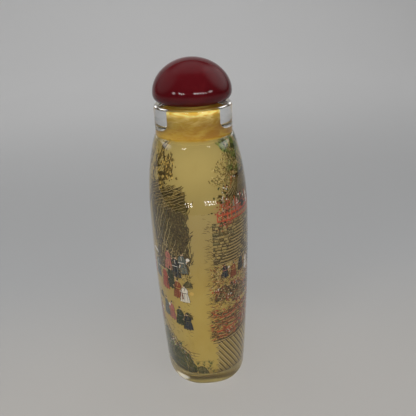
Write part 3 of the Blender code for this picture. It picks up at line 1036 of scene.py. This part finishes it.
def paintCliffFace(material):
    art = Painting("cliffTrees", 21)
    for start in ((40.0, 56.0, 2.2, 8.0), (38.5, 59.5, 2.7, 7.0), (42.0, 59.0, 2.5, 7.0),
                  (47.0, 58.0, 1.6, 7.0), (52.0, 57.0, 0.9, 8.5), (49.0, 60.0, 1.2, 6.0)):
        boughs(art, [start], 0.95, "umber", (0.7, 6, 0.30, "umber bark brown gold brown", 4), 2,
               level=1, sway=0.24)
    art.line(art.wander(50.0, 38.0, 1.75, 21.0, 0.12, 1.2), 1.9, "bark", 3, 1.0, 0.5)
    scumble(art, (46.5, 51.0, 38.0, 58.0), 160, 0.9, 0.12, "ink umber olive", 1.6, 0.3, 4,
            lambda a, z: abs(a - (50.0 - (z - 38.0) * 0.17)) < 0.9)
    art.sheet([[between((cliffEdge(z), z), (cliffEnd(z), z), u / 20.0) for u in range(21)]
               for z in (38.5 + 0.72 * step for step in range(27))], "umber", 0)
    scumble(art, (26.6, 43.0, 53.0, 58.6), 240, 2.4, 0.18, "umber shade bark ink", -0.4, 0.12, 2, onCliff)
    hatch(art, (27.4, 43.0, 52.0, 58.0), 0.66, -0.4, 0.15, "ink umber", 4, onCliff, "cream")
    scumble(art, (26.8, 43.0, 38.0, 54.0), 900, 1.4, 0.15, "bark umber ink olive", 1.75, 0.35, 1, onCliff)
    hatch(art, (30.0, 43.0, 38.0, 55.0), 0.95, 1.0, 0.14, "cream shade olive", 4,
          lambda a, z: onCliff(a, z) and a > 29.5 + 0.28 * (z - 38.0))
    hatch(art, (29.0, 43.0, 38.0, 55.0), 1.1, 1.9, 0.13, "shade cream slate", 4,
          lambda a, z: onCliff(a, z) and a > 28.6 + 0.25 * (z - 38.0))
    scumble(art, (28.0, 41.0, 36.0, 43.5), 260, 0.8, 0.12, "cream umber bark shade", 0.9, 0.9, 4)
    art.finish(material)

    art = Painting("strollers", 22)
    for figure in ((29.6, 36.0, 6.2, "slate", "white", -1, "fan"), (31.4, 34.4, 6.6, "navy", "white", -1),
                   (33.6, 36.0, 6.2, "rose", "slate", -1), (33.2, 30.6, 6.6, "pine", "ink", -1, "staff"),
                   (30.9, 28.2, 6.2, "brick", "gold"), (29.2, 27.4, 5.6, "white", "umber", 1, "load"),
                   (35.4, 29.5, 6.8, "coral", "ink", -1), (38.6, 31.5, 6.8, "slate", "white", 1, "parasol"),
                   (42.0, 31.0, 6.4, "rose", "white"), (31.2, 19.6, 6.2, "pine", "slate", -1),
                   (28.9, 18.6, 5.6, "navy", "olive", 1, "staff"), (33.6, 20.4, 6.0, "rose", "coral"),
                   (36.2, 20.6, 6.2, "slate", "navy", -1, "fan"),
                   (40.8, 16.6, 6.8, "brick", "coral", -1, "fan"), (45.5, 30.0, 8.4, "coral", "navy"),
                   (49.5, 29.0, 8.2, "navy", "gold", -1, "fan"),
                   (55.0, 28.5, 8.0, "white", "slate", 1, "staff"),
                   (59.5, 29.5, 7.8, "slate", "coral", -1, "parasol"),
                   (64.5, 28.0, 7.4, "brick", "white", -1, "load"),
                   (47.0, 14.5, 8.2, "slate", "white", 1, "parasol"),
                   (52.5, 13.8, 8.0, "rose", "navy", -1), (58.0, 15.0, 7.8, "navy", "rose", 1, "load")):
        person(art, *figure)
    for a, z in ((28.4, 32.0), (28.8, 22.2), (38.5, 25.0), (43.5, 24.5), (53.0, 24.0), (62.0, 24.5)):
        rock(art, a, z, 2.4, 2.2, strokes=12, layer=2)
        tufts(art, (a - 1.0, a + 1.0, z, z + 0.8), 5, 1.3, "umber moss brown")
    scumble(art, (27.6, 68.0, 12.5, 36.5), 480, 1.0, 0.11, "brown shade umber", 0.1, 0.5, 2)
    art.block((27.9, 36.0), (38.5, 35.6), (38.5, 38.7), (27.8, 38.9), "bark", 1)
    scumble(art, (27.6, 39.0, 33.5, 39.5), 260, 1.1, 0.13, "umber bark ink cream slate", 1.5, 0.5, 3)
    art.finish(material)

    art = Painting("mossRocks", 23)
    bank = ((26.5, 10.6), (29.0, 10.9), (31.5, 12.2), (35.0, 15.6), (38.5, 18.6), (43.0, 20.0))
    for drop, width, tone in (
            (0.0, 0.28, "umber"), (0.5, 0.14, "cream"), (0.95, 0.18, "umber"), (2.0, 0.14, "olive")):
        art.line([(a + 0.4 * drop, z - drop) for a, z in bank], width, tone, 4, 0.4, 1.0)
    for place in ((32.2, 2.7, 9.6, 9.4), (37.5, 3.0, 9.0, 12.5), (46.0, 3.0, 9.5, 8.0),
                  (55.0, 3.0, 10.0, 7.0), (64.0, 3.0, 9.0, 8.6)):
        rock(art, *place, "moss pine ink", 70)
    scumble(art, (27.8, 44.0, 2.8, 17.0), 900, 1.1, 0.18, "pine moss olive slate ink", 0.7, 0.5, 3,
            lambda a, z: z < 9.8 + (a - 27.8) * 0.75)
    scumble(art, (29.0, 40.0, 8.0, 16.0), 160, 0.7, 0.13, "cream white umber rose", 0.8, 0.5, 6,
            lambda a, z: -1.5 < z - 9.0 - (a - 29.0) * 0.75 < 1.5)
    tufts(art, (31.0, 68.0, 7.0, 13.5), 90, 1.8, "moss olive pine leaf")
    for place in ((35.0, 11.5), (41.0, 13.5), (48.0, 10.5), (57.0, 9.5), (65.0, 11.0)):
        dots(art, *place, 1.1, 26, 0.22, "rose white leaf moss spring", 6)
    boughs(art, [(68.0, 36.0, 2.0, 15.0), (67.0, 38.0, 1.8, 15.0), (66.0, 42.0, 2.3, 15.0)], 0.75, "bark",
           (0.5, 5, 0.22, "white rose rose ink", 6))
    hill(art, 58.0, 39.0, 16.0, 8.0)
    art.finish(material)


def paintNarrowSide(material):
    art = Painting("sideTufts", 31)
    tufts(art, (22.8, 27.4, 3.0, 7.5), 16, 1.5, "moss leaf umber")
    rock(art, 25.6, 2.8, 3.2, 3.4, strokes=20)
    scumble(art, (21.8, 23.4, 16.0, 52.0), 120, 1.0, 0.12, "brown shade umber", 0.05, 0.3, 3)
    art.finish(material)


# the stopper

capBox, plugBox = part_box("stopper_cap"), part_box("stopper_plug")
stopper = {
    "radius": 0.5 * (capBox[1][0] - capBox[0][0]),
    "seatRadius": 7.8 * mm,
    "widestRise": 2.4 * mm,
    "pointedness": 1.94,
    "red": (0.095, 0.0055, 0.0085),
    "warm": (0.13, 0.009, 0.012),
    "plugEdge": 0.4 * mm,
    "cork": (0.50, 0.31, 0.14),
    "corkSeams": (0.38, 0.22, 0.09),
    "corkPits": (0.12, 0.06, 0.025),
    "steps": 160,
    "plugSteps": 96,
}


def makeCapMaterial():
    material, shader, place = newMaterial("oxbloodGlaze", IOR=1.45, Specular_IOR_Level=0.32)
    veins = noise(place, 160.0, 4.0, 0.6, 1.2).ramp(0.45, 0.75)
    clouds = noise(place, 45.0, 2.0).ramp(0.4, 0.7)
    feedShader(shader, Base_Color=mixColour(veins * 0.5 + clouds * 0.5, stopper["red"], stopper["warm"]),
               Roughness=noise(place, 900.0, 2.0) * 0.06 + 0.02)
    return material


def quarterTurn(count):
    return [0.5 * math.pi * step / count for step in range(count + 1)]


def makeCap():
    seat, top = capBox[0][2], capBox[1][2]
    rise = stopper["widestRise"]
    power = 2.0 / stopper["pointedness"]
    spread = stopper["radius"] - stopper["seatRadius"]
    crown = seat + rise
    outline = [(0.0, seat)]
    for angle in quarterTurn(14):
        swell, climbed = math.sin(angle), 1.0 - math.cos(angle)
        outline.append((stopper["seatRadius"] + spread * swell, seat + rise * climbed))
    for angle in quarterTurn(40)[1:-1]:
        swell, climbed = math.cos(angle) ** power, math.sin(angle) ** power
        outline.append((stopper["radius"] * swell, crown + (top - crown) * climbed))
    outline.append((0.0, top))
    piece = smoothItem("stopperCap", spinOutline(outline, stopper["steps"]), makeCapMaterial())
    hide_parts("stopper_cap")
    finishPiece(piece)


def makeCorkMaterial():
    material, shader, place = newMaterial("cork", Roughness=0.85)
    cells = Wire.make(place.tree, "ShaderNodeTexVoronoi", {}, {"Vector": place, "Scale": 1400.0})
    pits = noise(place, 700.0, 3.0).ramp(0.6, 0.72)
    colour = mixColour(cells.ramp(0.0, 0.9), stopper["cork"], stopper["corkSeams"])
    bump = Wire.make(place.tree, "ShaderNodeBump", {}, {
        "Height": cells * 0.3 - pits, "Strength": 0.6, "Distance": 0.2 * mm})
    feedShader(shader, Base_Color=mixColour(pits * 0.8, colour, stopper["corkPits"]), Normal=bump)
    return material


def makePlug():
    low, high, edge = plugBox[0][2], plugBox[1][2], stopper["plugEdge"]
    flat = 0.5 * (plugBox[1][0] - plugBox[0][0]) - edge
    outline = [(0.0, low)] + [(flat + edge * math.sin(angle), low + edge * (1.0 - math.cos(angle)))
                              for angle in quarterTurn(5)]
    outline += [(flat + edge * math.cos(angle), high - edge * (1.0 - math.sin(angle)))
                for angle in quarterTurn(5)] + [(0.0, high)]
    piece = smoothItem("stopperPlug", spinOutline(outline, stopper["plugSteps"]), makeCorkMaterial())
    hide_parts("stopper_plug")
    finishPiece(piece)


# table, lamps and camera

stage = {
    "nearShade": (0.485, 0.470, 0.448),
    "midShade": (0.452, 0.456, 0.460),  # painted shade: the table is darker just behind the bottle
    "farShade": (0.86, 0.86, 0.86),
    "dimFrom": (-0.06, 0.03),
    "farFrom": (-0.08, -0.45),
    "reach": 0.75,
    "wallHeight": 0.7,
    "bend": 0.35,
    "gap": 0.05 * mm,  # keeps the table's face and the glass from sharing a plane
    "screenGlow": (0.17, 0.17, 0.17),
    "screenReach": 0.7425,
    "screenHeight": 1.12,
    "skyPower": (0.14, 0.32),  # towards +X, and what is added on the other side
    "aim": Vector((0.0, 0.0, 0.04)),
    "lamps": (
        # name, azimuth, elevation, distance, size, power, whether it lights, mirrors and shows through glass
        ("key", -35.0, 52.0, 0.75, (0.45, 0.45), 2.8, (True, False, False)),
        ("fill", 40.0, 35.0, 0.75, (0.45, 0.45), 1.4, (True, False, False)),
        ("ceiling", 0.0, 88.0, 0.80, (0.70, 0.70), 2.6, (True, False, True)),
    ),
    "mirrored": {
        # by the piece that mirrors them: the bulbs' share of a strip, and lamps with their columns of bulbs
        "bottleGlass": (0.22, (
            ("bulbsLeft", -23.5, 6.0, 0.50, (0.190, 0.036), 0.7, 3),
            ("bulbsRight", 18.0, 6.0, 0.50, (0.240, 0.036), 0.80, 5),
            ("shoulderLeft", -125.0, 70.0, 0.50, (0.10, 0.07), 0.8, 2),
            ("shoulderRight", 146.0, 68.0, 0.50, (0.20, 0.05), 1.2, 4),
            ("rimLeft", -125.0, 38.0, 0.60, (0.35, 0.35), 1.0, 0),
            ("rimRight", 119.0, 38.0, 0.60, (0.35, 0.35), 1.0, 0),
            ("rimLeftEnd", -152.0, 16.0, 0.60, (0.25, 0.20), 0.45, 0),
            ("rimRightEnd", 146.0, 16.0, 0.60, (0.25, 0.20), 0.45, 0),
        )),
        "stopperCap": (0.15, (
            ("capBulbsLeft", -33.0, 15.0, 0.50, (0.150, 0.060), 2.1, 3),
            ("capBulbsRight", 20.0, 15.0, 0.50, (0.340, 0.060), 4.8, 5),
            ("capLampLeft", -56.0, 15.0, 0.50, (0.12, 0.09), 0.35, 0),
            ("capLampRight", 50.0, 15.0, 0.50, (0.16, 0.09), 0.40, 0),
            ("capSideLeft", -105.0, 35.0, 0.60, (0.90, 0.90), 0.9, 0),
            ("capSideRight", 106.0, 35.0, 0.60, (0.90, 0.90), 2.2, 0),
            ("capHaze", 177.0, 72.0, 0.60, (0.90, 0.70), 0.9, 0),
        )),
    },
}


def direction(azimuth, elevation):  # in degrees, azimuth from +X
    azimuth, elevation = math.radians(azimuth), math.radians(elevation)
    flat = math.cos(elevation)
    return Vector((math.cos(azimuth) * flat, math.sin(azimuth) * flat, math.sin(elevation)))


def raiseWall(mesh, edges, height):
    raised = bmesh.ops.extrude_edge_only(mesh, edges=edges)["geom"]
    tops = [item for item in raised if isinstance(item, bmesh.types.BMVert)]
    bmesh.ops.translate(mesh, vec=(0.0, 0.0, height), verts=tops)


def placeOnStage(name, mesh, material):
    bmesh.ops.translate(mesh, vec=(0.0, 0.0, -stage["gap"]), verts=mesh.verts)
    return smoothItem(name, mesh, material)


def makeTable():  # it bends up into a wall behind the bottle
    material, shader, place = newMaterial("paleTable", Roughness=0.8)
    away = place.part("X")
    # painted light and shade: the table's colour darkens just behind the bottle and brightens up the far wall
    shade = mixColour(away.ramp(*stage["dimFrom"]), stage["midShade"], stage["nearShade"])
    shade = mixColour(away.ramp(*stage["farFrom"]), shade, stage["farShade"])
    feedShader(shader, Base_Color=mixColour(noise(place, 9.0, 4.0) * 0.06, shade, stage["nearShade"]))
    mesh = bmesh.new()
    bmesh.ops.create_grid(mesh, x_segments=1, y_segments=1, size=stage["reach"])
    far = [edge for edge in mesh.edges if all(vert.co.x < 0.0 for vert in edge.verts)]
    raiseWall(mesh, far, stage["wallHeight"])
    bmesh.ops.bevel(mesh, geom=far, offset=stage["bend"], affect="EDGES", segments=16, profile=0.5,
                    material=-1)
    table = placeOnStage("table", mesh, material)


def makeScreen():  # pale cloth on the other three sides, which lights and mirrors nothing
    material = newMaterial("paleScreen", Base_Color=stage["midShade"], Roughness=0.9,
                           Emission_Color=stage["screenGlow"], Emission_Strength=1.0)[0]
    mesh = bmesh.new()
    reach = stage["screenReach"]
    points = [mesh.verts.new((x * reach, y * reach, 0.0)) for x, y in ((-1, -1), (1, -1), (1, 1), (-1, 1))]
    raiseWall(mesh, [mesh.edges.new(pair) for pair in zip(points, points[1:])], stage["screenHeight"])
    screen = placeOnStage("screen", mesh, material)
    screen.visible_diffuse = False
    screen.visible_glossy = False
    screen.visible_shadow = False


def addLamp(name, azimuth, elevation, distance, size, power, role=(False, True, False)):
    lamp = bpy.data.lights.new(name, "AREA")
    lamp.shape = "RECTANGLE"
    lamp.size, lamp.size_y = size
    lamp.energy = power
    item = linkItem(name, lamp)
    away = direction(azimuth, elevation)
    item.location = stage["aim"] + away * distance
    item.rotation_euler = away.to_track_quat("Z", "Y").to_euler()
    item.visible_diffuse, item.visible_glossy, item.visible_transmission = role
    return item


def shapeLamp(lamp, columns, duty):  # a strip of small slanted bulbs in two rows, or one soft light
    lamp.use_nodes = True
    spot = Wire.make(lamp.node_tree, "ShaderNodeNewGeometry", {}, {}, "Parametric")
    across, along = spot.part("X"), spot.part("Y")
    if columns:
        wave = across.maths("PINGPONG", across * columns + along * 0.5 - 0.25, 0.5)
        rows = along.maths("PINGPONG", along * 2.0, 0.5)
        shine = wave.ramp(0.5 - duty, 0.6 - duty) * rows.ramp(0.18, 0.28)
    else:
        across, along = across - 0.5, along - 0.5
        shine = (across * across + along * along).ramp(0.25, 0.0)
    feed(lamp.node_tree.nodes["Emission"].inputs["Strength"], shine)


def makeLights():
    world = bpy.data.worlds.new("softRoom")
    world.use_nodes = True
    towards = Wire.make(world.node_tree, "ShaderNodeTexCoord", {}, {}, "Generated").part("X")
    dark, added = stage["skyPower"]
    feed(world.node_tree.nodes["Background"].inputs["Strength"], towards.ramp(0.8, -0.2) * added + dark)
    bpy.context.scene.world = world
    for lamp in stage["lamps"]:
        addLamp(*lamp)
    for mirror, (duty, lamps) in stage["mirrored"].items():
        for *lamp, columns in lamps:
            item = addLamp(*lamp)
            shapeLamp(item.data, columns, duty)
            item.light_linking.receiver_collection = bpy.data.collections.new(item.name)
            item.light_linking.receiver_collection.objects.link(bpy.data.objects[mirror])


# the camera looks at the narrow side, from above and close by

view = {
    "azimuth": -3.0,  # degrees round from +X
    "elevation": 25.17,
    "distance": 0.15146,
    "aim": Vector((0.0, 0.0, 0.040)),
    "turn": -0.94,  # how the hand holds it, in degrees
    "tip": 2.09,
    "roll": 3.0,
    "sensor": 36.0,
    "focal": 46.73077,
    "nearest": 0.01,
}


def makeCamera():
    camera = bpy.data.cameras.new("camera")
    camera.lens = view["focal"]
    camera.sensor_width = view["sensor"]
    camera.clip_start = view["nearest"]
    back = direction(view["azimuth"], view["elevation"])
    item = linkItem("camera", camera)
    item.location = view["aim"] + back * view["distance"]
    held = Matrix.Rotation(math.radians(-view["roll"]), 3, "Z")
    held = held @ Matrix.Rotation(math.radians(view["tip"]), 3, "X")
    held = held @ Matrix.Rotation(math.radians(view["turn"]), 3, "Y")
    item.rotation_euler = (back.to_track_quat("Z", "Y").to_matrix() @ held).to_euler()
    bpy.context.scene.camera = item


makeCamera()
makeBottle()
makeGround()
waterPaint = makePaintMaterial()
paintPavilionFace(waterPaint)
paintCliffFace(waterPaint)
paintNarrowSide(waterPaint)
makeCap()
makePlug()
makeTable()
makeScreen()
makeLights()
bpy.context.scene.view_settings.view_transform = "Standard"
